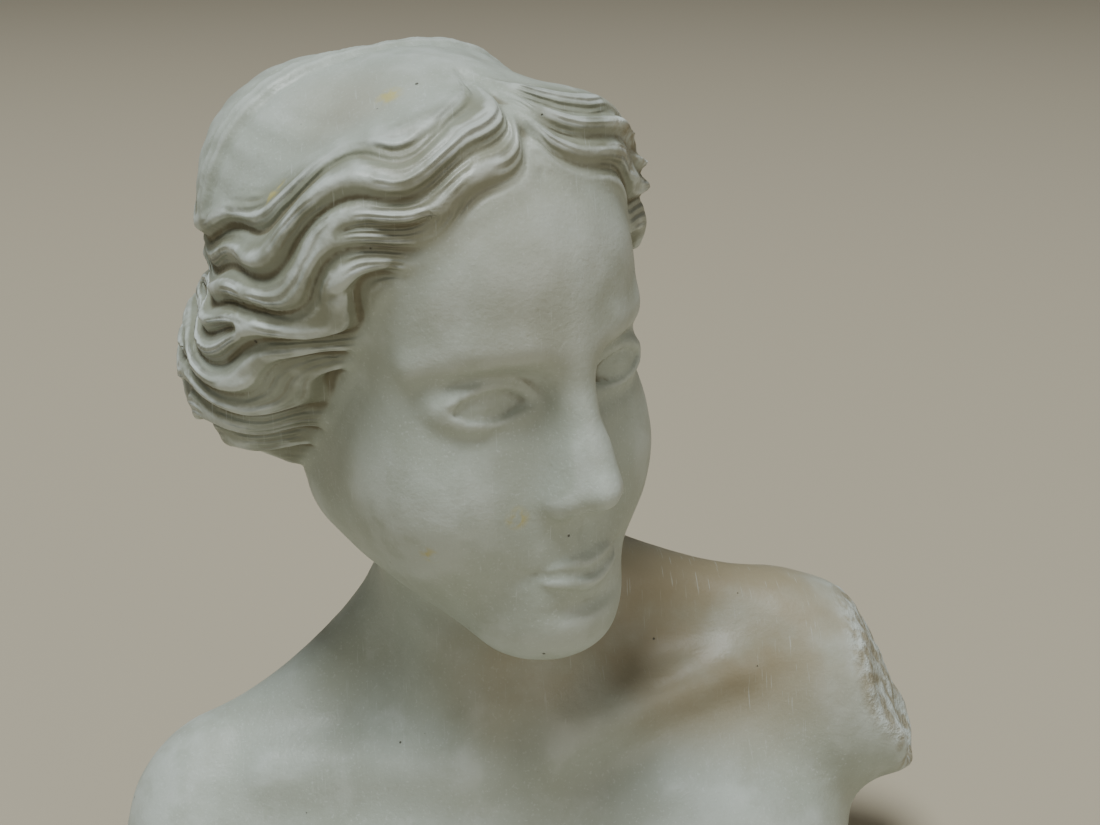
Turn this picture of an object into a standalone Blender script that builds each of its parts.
"""Bust of a classical goddess in cast stone: head turned to its left, parted wavy hair drawn back to a knot,
bare shoulders, the left arm broken off at the shoulder, and the chest cut flat below.

Apart from the head's height, every length is a share of that height, chin to crown, and the whole is scaled
once at the end. The figure faces -Y, its left is +X, and the flat underside lies on Z = 0.
"""
import math

import bmesh
import bpy
import numpy as np
from mathutils import Matrix, Vector

# Driving size, in metres
HEAD_HEIGHT = 0.115

# Pose of the head on the neck, in degrees, and the chin's place in head heights
HEAD_TURN = 29.0
HEAD_NOD = 2.0
HEAD_LEAN = -4.0
CHIN_PLACE = np.array((-0.07, -0.01, 0.78))
NECK_PIVOT = np.array((0, 0.05, 0.2))

# The shoulders, in degrees and head heights
SHOULDER_SLOPE = -10.5
NECK_PIT = np.array((0.04, 0, 0.5))
BREAK_THROUGH = np.array((0.805, 0.05, 0.28))
BREAK_NORMAL = np.array(Vector((0.94, -0.20, 0.24)).normalized())

# The form runs on a little below the flat cut, in head heights, so that the cut is clean
SPARE_BELOW = 0.12

# How fine the surface is worked, in head heights, the faces that are kept, and the angle, in degrees,
# over which an edge is shaded sharp
POINT_SPACING = 0.025
ROUGH_VOXEL = 0.018
FINE_VOXEL = 0.010
TRIANGLES = 9600
SHARP_OVER = 50.0


# Plain forms, as signed distances in head heights

def ball(p, centre, radii):
    """An ellipsoid."""
    q = (p - np.array(centre)) / np.array(radii)
    near = np.linalg.norm(q, axis=1)
    steep = np.linalg.norm(q / np.array(radii), axis=1)
    return near * (near - 1) / np.maximum(steep, 1e-6)


def rod(p, start, end, r_start, r_end):
    """A round bar with ball ends, thinner or thicker towards its end."""
    start, end = np.array(start), np.array(end)
    along = end - start
    t = np.clip((p - start) @ along / (along @ along), 0, 1)
    return np.linalg.norm(p - start - t[:, None] * along, axis=1) - (r_start + (r_end - r_start) * t)


def melt(a, b, width):
    """Two forms joined with a soft fillet of that width."""
    h = np.clip(0.5 + 0.5 * (b - a) / width, 0, 1)
    return b + (a - b) * h - width * h * (1 - h)


def hollow(a, b, width):
    """Form b taken out of form a, with a soft edge."""
    return -melt(-a, b, width)


def chain(p, stations):
    """Bars end to end through stations of (x, y, z, radius)."""
    bars = [rod(p, a, b, ra, rb) for (*a, ra), (*b, rb) in zip(stations, stations[1:])]
    return np.min(bars, axis=0)


def step(low, high, x):
    """0 below low, 1 above high, smooth between."""
    t = np.clip((x - low) / (high - low), 0, 1)
    return t * t * (3 - 2 * t)


def bump(x, middle, half):
    return np.exp(-(((x - middle) / half) ** 2))


def sided(p):
    """The points folded onto the figure's left side."""
    q = p.copy()
    q[:, 0] = np.abs(q[:, 0])
    return q


# The face, in the head's own frame: chin at Z = 0, crown at Z = 1, front at -Y

EYE = (0.129, -0.262, 0.508)
EYE_RADII = np.array((0.080, 0.068, 0.065))
EYE_HALF_WIDTH = 0.068
EYE_LINE = 0.506
LID = 0.0085
MOUTH_LINE = 0.200
MOUTH_HALF_WIDTH = 0.098
FACE_FRONT = -0.2


def eye_opening(q):
    """Negative inside the almond between the lids."""
    u = (q[:, 0] - EYE[0]) / EYE_HALF_WIDTH
    arch = np.clip(1 - u * u, 0, 1)
    upper = EYE_LINE + 0.033 * arch ** 0.75 + 0.004 * u
    lower = EYE_LINE - 0.021 * arch ** 0.85 + 0.004 * u
    side = (np.abs(u) - 1.0) * EYE_HALF_WIDTH
    return np.maximum(np.maximum(q[:, 2] - upper, lower - q[:, 2]), side)


def lids(q):
    """How far the rim of the upper lid, its crease and the fold below the eye stand out."""
    u = (q[:, 0] - EYE[0]) / EYE_HALF_WIDTH
    near = step(-0.20, -0.24, q[:, 1]) * (1 - step(0.85, 1.30, np.abs(u)))
    over = EYE_LINE + 0.035 * np.clip(1 - (u / 1.12) ** 2, 0, 1) ** 0.75 + 0.004 * u
    under = EYE_LINE - 0.023 * np.clip(1 - (u / 1.12) ** 2, 0, 1) ** 0.85 + 0.004 * u
    z = q[:, 2]
    rim = 0.0040 * bump(z, over + 0.005, 0.008) - 0.0042 * bump(z, over + 0.023, 0.009)
    return near * (rim + 0.0020 * bump(z, under - 0.005, 0.007) - 0.0020 * bump(z, under - 0.030, 0.014))


def lips(p):
    """How far the lips stand out from the muzzle."""
    x, z = np.abs(p[:, 0]), p[:, 2]
    u = np.clip(x / MOUTH_HALF_WIDTH, 0, 1)
    line = MOUTH_LINE + 0.003 * bump(x, 0.045, 0.02) - 0.003 * bump(x, 0, 0.02)
    top = line + 0.034 * (1 - u ** 1.8) + 0.004 * bump(x, 0.024, 0.012) + 1e-4
    low = line - 0.042 * (1 - u ** 2.4) - 1e-4
    up = np.clip((z - line) / (top - line), 0, 1)
    down = np.clip((line - z) / (line - low), 0, 1)
    full = (1 - u ** 2) ** 0.6
    rise = 0.0130 * np.sin(np.pi * up ** 0.62) + 0.016 * np.sin(np.pi * down ** 0.62)
    mouth_line = 0.009 * bump(z, line, 0.007) * (1 - step(0.086, 0.106, x))
    corners = 0.003 * bump(x, MOUTH_HALF_WIDTH, 0.014) * bump(z, MOUTH_LINE - 0.004, 0.014)
    return np.where(p[:, 1] < FACE_FRONT, rise * full - mouth_line - corners, 0)


def face(p):
    q = sided(p)
    x, y, z = q.T
    front = y < FACE_FRONT
    oval = ball(p, (0, 0, 0.5), (0.272, 0.372, 0.5))
    d = melt(oval, ball(p, (0, -0.105, 0.665), (0.262, 0.288, 0.265)), 0.06)
    d = melt(d, ball(p, (0, -0.225, 0.225), (0.150, 0.172, 0.17)), 0.10)
    d = melt(d, ball(p, (0, -0.318, 0.082), (0.092, 0.084, 0.082)), 0.09)
    d = melt(d, rod(q, (0.185, 0.02, 0.262), (0.06, -0.25, 0.092), 0.062, 0.062), 0.12)
    d = melt(d, ball(q, (0.142, -0.185, 0.330), (0.125, 0.150, 0.165)), 0.10)
    brow = chain(q, [(0.0, -0.350, 0.590, 0.026), (0.08, -0.350, 0.604, 0.021),
                     (0.155, -0.315, 0.608, 0.015), (0.215, -0.245, 0.578, 0.010)])
    d = melt(d, brow, 0.055)
    socket = ball(q, (0.122, -0.402, 0.520), (0.090, 0.070, 0.038))
    d = hollow(d, socket, 0.060)
    nose = chain(p, [(0, -0.345, 0.650, 0.026), (0, -0.374, 0.535, 0.029), (0, -0.424, 0.385, 0.032)])
    nose = melt(nose, ball(p, (0, -0.436, 0.357), (0.036, 0.038, 0.031)), 0.03)
    nose = melt(nose, ball(q, (0.040, -0.400, 0.342), (0.026, 0.038, 0.027)), 0.030)
    nose = melt(nose, ball(q, (0.018, -0.372, 0.392), (0.036, 0.056, 0.062)), 0.04)
    d = melt(d, nose, 0.050)
    d = hollow(d, ball(q, (0.021, -0.428, 0.304), (0.011, 0.021, 0.012)), 0.012)
    covered = ball(q, EYE, EYE_RADII + LID)
    socketed = melt(d, covered, 0.016)
    opened = hollow(socketed, np.maximum(eye_opening(q), y + 0.22), 0.004)
    d = melt(opened, ball(q, EYE, EYE_RADII), 0.0015)
    d = d - lids(q) - lips(p)
    d = d + 0.012 * bump(z, 0.128, 0.018) * bump(x, 0, 0.06) * front
    d = d + 0.006 * bump(x, 0, 0.011) * bump(z, 0.266, 0.022) * front
    return d


# Hair, in the head's own frame: a cap over the skull, a thick roll of locks along each side from the
# parting to the back, the knot, the hair on the nape, and a narrow band behind the roll

CAP_CENTRE = (0, 0.068, 0.650)
CAP_RADII = (0.346, 0.430, 0.335)
CAP_FRONT = (0, -0.080, 0.780)
CAP_FRONT_RADII = (0.262, 0.225, 0.186)
CROWN_CENTRE = (0, 0.170, 0.690)
CROWN_RADII = (0.310, 0.335, 0.285)
CROWN_SIDE = (0.125, 0.190, 0.790)
CROWN_SIDE_RADII = (0.190, 0.200, 0.182)
ROLL = [(0.030, -0.212, 0.908, 0.054), (0.125, -0.196, 0.866, 0.092), (0.212, -0.112, 0.774, 0.116),
        (0.256, 0.002, 0.622, 0.132), (0.266, 0.120, 0.488, 0.162), (0.200, 0.285, 0.450, 0.168),
        (0.070, 0.410, 0.435, 0.140)]
ROLL_LOW = 0.312
ROLL_GRIP = 0.045
HAIRLINE_BLEND = 0.045
LOCKS_PER_HEAD = 16.0
LOCK_DROP = 0.42
CAP_LINE = 0.895
WAVE_LENGTH = 0.235
FORKS = [(0.16, 0.76, 1), (0.27, 0.79, -1), (0.36, 0.60, 1), (0.50, 0.71, 1), (0.55, 0.50, -1),
         (0.72, 0.62, 1), (0.80, 0.72, -1)]
FORK_LENGTH = 8.0
BAND_NORMAL = np.array((0, 0.968, 0.252))
BAND_OFFSET = 0.404
BAND_HALF = 0.024
KNOT = (0, 0.535, 0.445)
KNOT_RADII = (0.150, 0.118, 0.135)


def smooth_line(stations, pieces):
    """A smooth curve through stations of (x, y, z, radius), as many short pieces."""
    s = np.array(stations)
    ends = np.vstack([2 * s[0] - s[1], s, 2 * s[-1] - s[-2]])
    out = []
    for i in range(len(s) - 1):
        a, b, c, d = ends[i:i + 4]
        t = np.linspace(0, 1, pieces, endpoint=False)[:, None]
        out.append(0.5 * (2 * b + (c - a) * t + (2 * a - 5 * b + 4 * c - d) * t ** 2
                          + (3 * b - a - 3 * c + d) * t ** 3))
    return np.vstack(out + [s[-1:]])


ROLL_LINE = smooth_line(ROLL, 8)
ROLL_RUN = np.concatenate([[0], np.cumsum(np.linalg.norm(np.diff(ROLL_LINE[:, :3], axis=0), axis=1))])


def along_roll(q):
    """The distance to the roll of hair, and the way along it."""
    centre = ROLL_LINE[:, :3]
    far = (q ** 2).sum(axis=1)[:, None] - 2 * q @ centre.T + (centre ** 2).sum(axis=1)
    pull = np.exp(-(far - far.min(axis=1)[:, None]) / ROLL_GRIP ** 2)
    pull /= pull.sum(axis=1)[:, None]
    off = q - pull @ centre
    return np.linalg.norm(off, axis=1) - pull @ ROLL_LINE[:, 3], pull @ ROLL_RUN


def hair_parts(p):
    """Distances to the cap, roll, knot and nape of the hair."""
    cap = melt(ball(p, CAP_CENTRE, CAP_RADII), ball(p, CROWN_CENTRE, CROWN_RADII), 0.06)
    cap = melt(cap, ball(sided(p), CROWN_SIDE, CROWN_SIDE_RADII), 0.08)
    cap = melt(cap, ball(p, CAP_FRONT, CAP_FRONT_RADII), 0.06)
    roll = hollow(along_roll(sided(p))[0], p[:, 2] - ROLL_LOW, 0.02)
    knot = ball(p, KNOT, KNOT_RADII)
    nape = rod(p, (0, 0.20, 0.42), (0, 0.125, 0.20), 0.205, 0.140)
    return cap, roll, knot, nape


def hair_mass(p):
    cap, roll, knot, nape = hair_parts(p)
    return melt(melt(melt(cap, roll, 0.06), knot, 0.03), nape, 0.015)


def behind_hairline(p):
    """Negative where hair grows, positive over the face."""
    x, y, z = sided(p).T
    return -(y + 0.70 * (z - 0.60) + 0.130 - 0.02 * bump(x, 0.0, 0.05))


def hair(p):
    return hollow(hair_mass(p), -behind_hairline(p), 0.05)


def head(p):
    return melt(face(p), hair(p), HAIRLINE_BLEND)


def ridge(phase, rise=0.34):
    """Rounded locks between sharp valleys, one to each unit of phase, each fullest near its lower edge."""
    f = phase - np.floor(phase)
    t = np.clip(f / rise, 0, 1)
    return t * (2 - t) * (1 - np.clip((f - rise) / (1 - rise), 0, 1) ** 1.7)


def of_lock(phase, seed):
    """A steady value from 0 to 1 for each lock."""
    v = np.sin((np.floor(phase) + seed) * 12.9898) * 43758.5453
    return v - np.floor(v)


def lock_course(p):
    """How high up the head's flow of locks a point lies, which lock it is on, and the way along it."""
    x, y, z = sided(p).T
    left = np.clip(p[:, 0] / (0.03 + 0.12 * step(0.0, 0.25, y)), -1, 1)
    _, way = along_roll(sided(p))
    across = z + 0.17 * x + LOCK_DROP * np.minimum(y, 0.35) * step(0.45, 0.80, z)
    across -= 0.07 * np.exp(-x / 0.035) * (1 - step(-0.10, 0.10, y))
    to_knot = KNOT[2] + 0.05 + 0.45 * np.arctan2(z - KNOT[2], x + 0.02)
    across += (to_knot - across) * step(0.16, 0.46, y)
    drift = 1.0 * np.sin(9.0 * across + 1.7 * left) + 0.6 * np.sin(5.0 * way + 7.0 * across)
    wave = np.sin(2 * np.pi * way / WAVE_LENGTH + 1.1 * left + drift)
    swing = 0.38 * step(0.0, 0.14, way) * (1 - 0.45 * step(0.62, 0.90, way))
    swing *= 1 + 0.35 * np.sin(7 * way + 11 * across + left)
    uneven = 0.30 * np.sin(8 * way + 6.0 * across + left) + 0.22 * np.sin(13.0 * across + 2 * left)
    phase = LOCKS_PER_HEAD * across + swing * wave + uneven
    for fork_way, fork_across, turn in FORKS:
        rise = (across - fork_across - 0.02 * left) * LOCKS_PER_HEAD
        run = (way - fork_way - 0.03 * left) * FORK_LENGTH
        phase += turn * np.arctan2(rise, run) / (2 * np.pi)
    return across, phase, way


def hair_relief(p):
    """How far the carved locks stand out from the hair's mass, and sink between."""
    across, phase, way = lock_course(p)
    x = np.abs(p[:, 0])
    share = of_lock(phase, 3.0)
    strand = ridge(phase)
    fine = ridge(phase * 3 + 0.5 * np.sin(9 * way + 7 * share), 0.45) * step(0.25, 0.6, share)
    depth = 0.80 + 0.20 * np.sin(10 * way + 2 * np.pi * share)
    deep = 0.020 + 0.009 * step(0.05, 0.30, way)
    on_roll = deep * (strand * depth - 0.62) + 0.006 * fine * strand
    on_roll -= 0.009 * bump(x, 0, 0.014) * (1 - step(-0.10, 0.05, p[:, 1]))
    band = np.abs(p @ BAND_NORMAL - BAND_OFFSET) / BAND_HALF
    round_cap = np.arctan2(p[:, 0], p[:, 2] - KNOT[2])
    combed = round_cap * 9 + 0.30 * np.sin(9 * p[:, 1] + 3 * round_cap) + 0.2 * np.sin(23 * p[:, 1])
    on_cap = 0.0022 * ridge(combed, 0.45) - 0.003
    on_cap += 0.009 * (1 - step(0.70, 1.0, band)) - 0.006 * bump(band, 1.30, 0.30) - 0.007 * bump(band, 0, 0.22)
    edge = 0.7 * across + 0.3 * phase / LOCKS_PER_HEAD
    capped = step(CAP_LINE - 0.012, CAP_LINE + 0.012, edge)
    on_roll = on_roll + (on_cap - on_roll) * capped
    k = p - np.array(KNOT)
    spin = np.arctan2(k[:, 2], k[:, 0])
    open_angle = np.arctan2(np.hypot(k[:, 0], k[:, 2]), k[:, 1])
    coil = open_angle * 1.5 + spin / np.pi + 0.12 * np.sin(3 * spin + 4 * open_angle)
    on_knot = 0.020 * ridge(coil, 0.4) + 0.006 * ridge(coil * 3, 0.4) - 0.013
    on_nape = (0.014 * ridge(spin * 4.2 + 0.4 * np.sin(22 * k[:, 2]), 0.4) - 0.008) * step(0.22, 0.30, p[:, 2])
    cap, roll, knot, nape = hair_parts(p)
    parts = np.stack([np.minimum(cap, roll), knot, nape])
    share = np.exp(-(parts - parts.min(axis=0)) / 0.010)
    share /= share.sum(axis=0)
    return share[0] * on_roll + share[1] * on_knot + share[2] * on_nape


def hair_share(p):
    """1 on the hair, 0 on the skin, with the locks dying out over the temple and forehead."""
    return 1 - step(-0.014, 0.040, hair(p) - face(p))


# Neck, shoulders and chest, in the figure's frame

def to_head(p):
    """Points of the figure in the head's own frame."""
    turn = Matrix.Rotation(math.radians(HEAD_TURN), 3, "Z")
    nod = Matrix.Rotation(math.radians(HEAD_NOD), 3, "X")
    lean = Matrix.Rotation(math.radians(HEAD_LEAN), 3, "Y")
    pose = np.array(turn @ lean @ nod)
    return (p - CHIN_PLACE - NECK_PIVOT) @ pose + NECK_PIVOT


def past_break(s):
    """Positive beyond the uneven face where the left arm broke off."""
    y, z = s[:, 1], s[:, 2]
    flat = (s - BREAK_THROUGH) @ BREAK_NORMAL
    return flat + 0.007 * np.sin(23 * y + 9 * z) + 0.006 * np.sin(31 * z - 14 * y + 1)


def girdle(p):
    """Points of the figure in the sloping frame of the shoulders."""
    tilt = np.array(Matrix.Rotation(math.radians(SHOULDER_SLOPE), 3, "Y"))
    return (p - NECK_PIT) @ tilt + (0, 0, NECK_PIT[2])


def body(p):
    c = p - (NECK_PIT[0], 0, 0)
    s = girdle(p)
    q = sided(s)
    d = melt(ball(c, (0, 0.05, -0.03), (0.58, 0.36, 0.54)),
             ball(q, (0.30, -0.09, 0.12), (0.32, 0.22, 0.27)), 0.15)
    d = melt(d, ball(sided(c), (0.27, -0.22, -0.24), (0.24, 0.24, 0.33)), 0.15)
    d = melt(d, rod(q, (0.10, 0.06, 0.46), (0.60, 0.06, 0.43), 0.12, 0.12), 0.16)
    d = melt(d, ball(q, (0.650, 0.05, 0.345), (0.165, 0.185, 0.215)), 0.10)
    d = melt(d, rod(p, (-0.01, 0.08, 0.98), (0.04, 0.03, 0.42), 0.172, 0.210), 0.16)
    d = melt(d, rod(s, (0.02, 0.15, 0.82), (0.54, 0.08, 0.54), 0.075, 0.065), 0.14)
    d = melt(d, rod(s, (0.0, 0.15, 0.80), (-0.54, 0.08, 0.49), 0.070, 0.05), 0.14)
    d = melt(d, rod(q, (0.06, -0.160, 0.495), (0.45, -0.05, 0.500), 0.010, 0.010), 0.11)
    d = melt(d, rod(p, (-0.17, 0.05, 0.92), (0.02, -0.160, 0.50), 0.035, 0.022), 0.08)
    d = melt(d, rod(p, (0.13, 0.15, 0.90), (0.06, -0.160, 0.50), 0.035, 0.022), 0.08)
    d = hollow(d, ball(c, (0, -0.262, 0.535), (0.050, 0.060, 0.055)), 0.09)
    d = melt(d, rod(s, (-0.64, 0.05, 0.25), (-0.65, 0.06, -0.6), 0.155, 0.135), 0.08)
    d = melt(d, rod(s, (0.65, 0.05, 0.325), (0.78, 0.03, 0.285), 0.155, 0.145), 0.08)
    d = melt(d, rod(s, (0.48, 0.04, 0.24), (0.535, 0.03, -0.5), 0.15, 0.16), 0.12)
    return hollow(d, -past_break(s), 0.02)


def figure(p):
    """The whole figure as one signed distance, in head heights."""
    d = np.full(len(p), 9.0)
    low, high = p[:, 2] < 1.15, p[:, 2] > 0.70
    d[low] = body(p[low])
    d[high] = melt(d[high], head(to_head(p[high])), 0.05)
    return np.maximum(d, -SPARE_BELOW - p[:, 2])


# Making the mesh

def read_points(mesh):
    co = np.empty(len(mesh.vertices) * 3)
    mesh.vertices.foreach_get("co", co)
    return co.reshape(-1, 3)


def write_points(mesh, p):
    mesh.vertices.foreach_set("co", p.ravel())
    mesh.update()


def slope_of(form, p, d):
    tiny = 1e-4
    return np.stack([(form(p + np.eye(3)[i] * tiny) - d) / tiny for i in range(3)], axis=1)


def draw_onto(mesh, form, rounds):
    """Moves every vertex along the form's slope until it lies on the form's surface."""
    p = read_points(mesh)
    longest = 0.03
    for _ in range(rounds):
        d = form(p)
        slope = slope_of(form, p, d)
        move = slope * (d / np.maximum((slope ** 2).sum(axis=1), 0.25))[:, None]
        length = np.linalg.norm(move, axis=1)
        p -= move * (np.minimum(length, longest) / np.maximum(length, 1e-9))[:, None]
    write_points(mesh, p)


def carve_hair(mesh):
    """Cuts the locks into the smooth masses of hair, along the surface's own slope."""
    p = read_points(mesh)
    near = p[:, 2] > 0.7
    high = p[near]
    slope = slope_of(figure, high, figure(high))
    slope /= np.linalg.norm(slope, axis=1)[:, None]
    at = to_head(high)
    p[near] = high + slope * (hair_relief(at) * hair_share(at))[:, None]
    write_points(mesh, p)


def filled_with_points(form, low, high):
    """A mesh of loose points, one at each grid place inside the form."""
    sides = [np.arange(a, b, POINT_SPACING) for a, b in zip(low, high)]
    grid = np.stack(np.meshgrid(*sides, indexing="ij"), axis=-1).reshape(-1, 3)
    inside = grid[form(grid) < 0]
    cloud = bpy.data.meshes.new("bust")
    cloud.vertices.add(len(inside))
    cloud.vertices.foreach_set("co", inside.ravel())
    return cloud


def skin_tree():
    """Geometry nodes that wrap a cloud of points in one closed skin."""
    tree = bpy.data.node_groups.new("skin", "GeometryNodeTree")
    tree.interface.new_socket("Geometry", in_out="INPUT", socket_type="NodeSocketGeometry")
    tree.interface.new_socket("Geometry", in_out="OUTPUT", socket_type="NodeSocketGeometry")
    names = ("NodeGroupInput", "GeometryNodeMeshToPoints", "GeometryNodePointsToVolume",
             "GeometryNodeVolumeToMesh", "NodeGroupOutput")
    nodes = [tree.nodes.new(name) for name in names]
    for a, b in zip(nodes, nodes[1:]):
        tree.links.new(a.outputs[0], b.inputs[0])
    to_volume = nodes[2]
    to_volume.resolution_mode = "VOXEL_SIZE"
    to_volume.inputs["Voxel Size"].default_value = POINT_SPACING * 0.6
    to_volume.inputs["Radius"].default_value = POINT_SPACING
    return tree


def applied(obj):
    """The object's modifiers made part of its mesh."""
    graph = bpy.context.evaluated_depsgraph_get()
    mesh = bpy.data.meshes.new_from_object(obj.evaluated_get(graph))
    obj.modifiers.clear()
    obj.data = mesh


def remeshed(obj, voxel):
    modifier = obj.modifiers.new("voxels", "REMESH")
    modifier.mode = "VOXEL"
    modifier.voxel_size = voxel
    applied(obj)


def thinned(obj, triangles):
    modifier = obj.modifiers.new("thin", "DECIMATE")
    modifier.ratio = triangles / (2 * len(obj.data.polygons))
    applied(obj)


def cut_flat(mesh):
    """Cuts off what lies under Z = 0 and closes the cut with one flat face."""
    bm = bmesh.new()
    bm.from_mesh(mesh)
    bmesh.ops.triangulate(bm, faces=bm.faces)
    parts = bm.verts[:] + bm.edges[:] + bm.faces[:]
    bmesh.ops.bisect_plane(bm, geom=parts, dist=1e-5, plane_co=(0, 0, 0), plane_no=(0, 0, 1), clear_inner=True)
    rim = [e for e in bm.edges if e.is_boundary]
    bmesh.ops.contextual_create(bm, geom=rim)
    bmesh.ops.recalc_face_normals(bm, faces=bm.faces)
    bm.to_mesh(mesh)
    bm.free()


def cast_stone():
    """Pale grey-green cast stone, satin from handling."""
    material = bpy.data.materials.new("cast_stone")
    material.use_nodes = True
    shader = material.node_tree.nodes["Principled BSDF"]
    shader.inputs["Base Color"].default_value = (0.43, 0.45, 0.39, 1)
    shader.inputs["Roughness"].default_value = 0.5
    shader.inputs["Metallic"].default_value = 0.0
    return material


def make_bust():
    cloud = filled_with_points(figure, (-1.1, -0.65, -0.25), (1.1, 0.85, 2.05))
    bust = bpy.data.objects.new("bust", cloud)
    home = bpy.data.collections.new("goddess bust")
    bpy.context.scene.collection.children.link(home)
    home.objects.link(bust)
    bust.modifiers.new("skin", "NODES").node_group = skin_tree()
    applied(bust)
    draw_onto(bust.data, figure, 5)
    remeshed(bust, ROUGH_VOXEL)
    draw_onto(bust.data, figure, 4)
    remeshed(bust, FINE_VOXEL)
    draw_onto(bust.data, figure, 3)
    carve_hair(bust.data)
    thinned(bust, TRIANGLES)
    cut_flat(bust.data)
    bust.data.transform(Matrix.Scale(HEAD_HEIGHT, 4))
    bust.data.name = "bust"
    bust.data.shade_smooth()
    bust.data.set_sharp_from_angle(angle=math.radians(SHARP_OVER))
    bust.data.materials.append(cast_stone())
    return bust


for old in list(bpy.data.objects):
    bpy.data.objects.remove(old)
make_bust()
